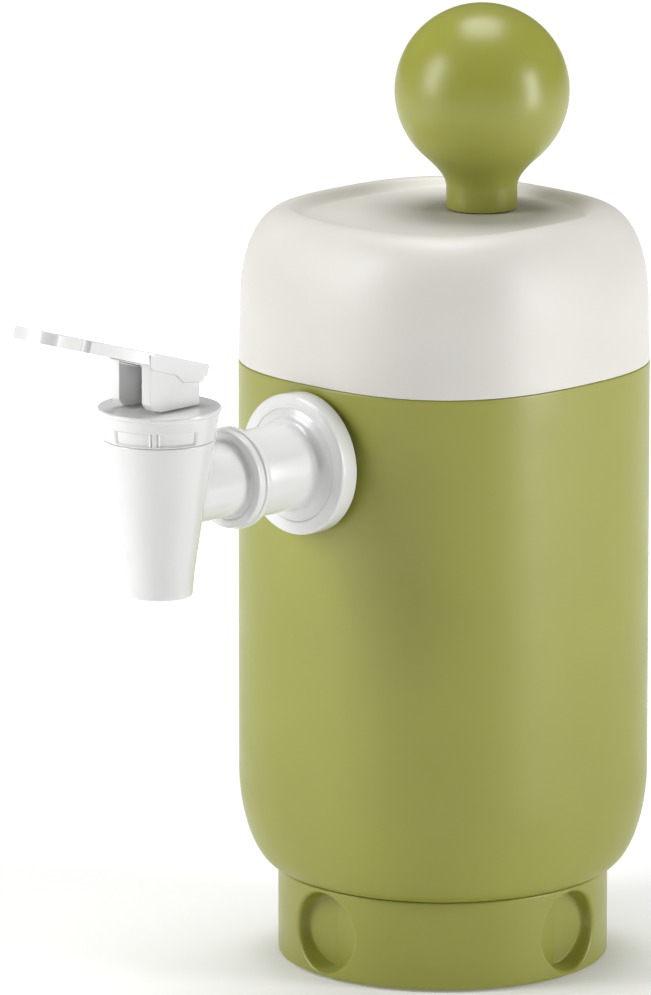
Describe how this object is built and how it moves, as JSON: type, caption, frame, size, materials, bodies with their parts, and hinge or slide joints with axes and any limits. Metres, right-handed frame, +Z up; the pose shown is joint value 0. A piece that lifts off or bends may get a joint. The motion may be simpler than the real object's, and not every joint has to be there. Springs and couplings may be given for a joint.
{
  "type": "water jug with lever tap",
  "caption": "Tabletop water jug with a rounded-square body, dished lid, ball-knob stopper on an off-centre port, round base with finger scoops and a lever tap.",
  "frame": {"origin": "centre of the base pad's resting face, on the vessel's vertical axis", "axes": "+Z up along the vessel's axis, -Y towards the tap, +X to the jug's left as seen from behind the tap"},
  "size_m": [0.126, 0.2535, 0.3198],
  "materials": {
    "olive_plastic": "satin moulded, olive green",
    "warm_white_plastic": "satin moulded, warm off-white",
    "white_tap_plastic": "gloss moulded, white",
    "clear_silicone": "matte translucent",
    "grey_silicone": "matte",
    "stainless_steel": "satin"
  },
  "bodies": {
    "jug": {"body_vessel": "olive_plastic", "base_ring": "olive_plastic", "base_pad": "grey_silicone", "base_screw_1": "stainless_steel", "base_screw_2": "stainless_steel", "base_screw_3": "stainless_steel", "base_screw_4": "stainless_steel", "tap_fitting": "white_tap_plastic", "outer_gasket": "clear_silicone", "inner_gasket": "clear_silicone", "back_nut": "white_tap_plastic", "tap_body": "white_tap_plastic", "tube_o_ring": "clear_silicone", "tap_bonnet": "white_tap_plastic", "valve_spring": "stainless_steel"},
    "stem": {"valve_stem": "white_tap_plastic", "valve_seal": "clear_silicone"},
    "lever": {"tap_lever": "white_tap_plastic", "lever_pin": "stainless_steel"},
    "lid": {"lid_shell": "warm_white_plastic", "lid_liner": "warm_white_plastic", "lid_seal": "clear_silicone", "lid_screw_1": "stainless_steel", "lid_screw_2": "stainless_steel", "lid_screw_3": "stainless_steel", "lid_screw_4": "stainless_steel", "port_sleeve": "warm_white_plastic"},
    "stopper": {"ball_knob": "olive_plastic", "stopper_plug": "warm_white_plastic", "stopper_seal_1": "clear_silicone", "stopper_seal_2": "clear_silicone", "stopper_screw": "stainless_steel"}
  },
  "joints": [
    {"name": "lid_lift", "type": "slide", "parent": "jug", "child": "lid", "axis": [0, 0, 1], "range_m": [0, 0.1]},
    {"name": "stopper_lift", "type": "slide", "parent": "lid", "child": "stopper", "axis": [0, 0, 1], "range_m": [0, 0.04]},
    {"name": "stem_lift", "type": "slide", "parent": "jug", "child": "stem", "axis": [0, 0, 1], "range_m": [0, 0.003], "deforming": ["valve_spring"]},
    {"name": "lever_tilt", "type": "hinge", "parent": "stem", "child": "lever", "pos_m": [0, -0.1319, 0.2135], "axis": [1, 0, 0], "range_deg": [0, 22], "stiffness_Nm_per_rad": 0.05, "springref_deg": -34.38}
  ],
  "couplings": [
    {"joint": "stem_lift", "follows": "lever_tilt", "m_per_rad": 0.0078}
  ]
}
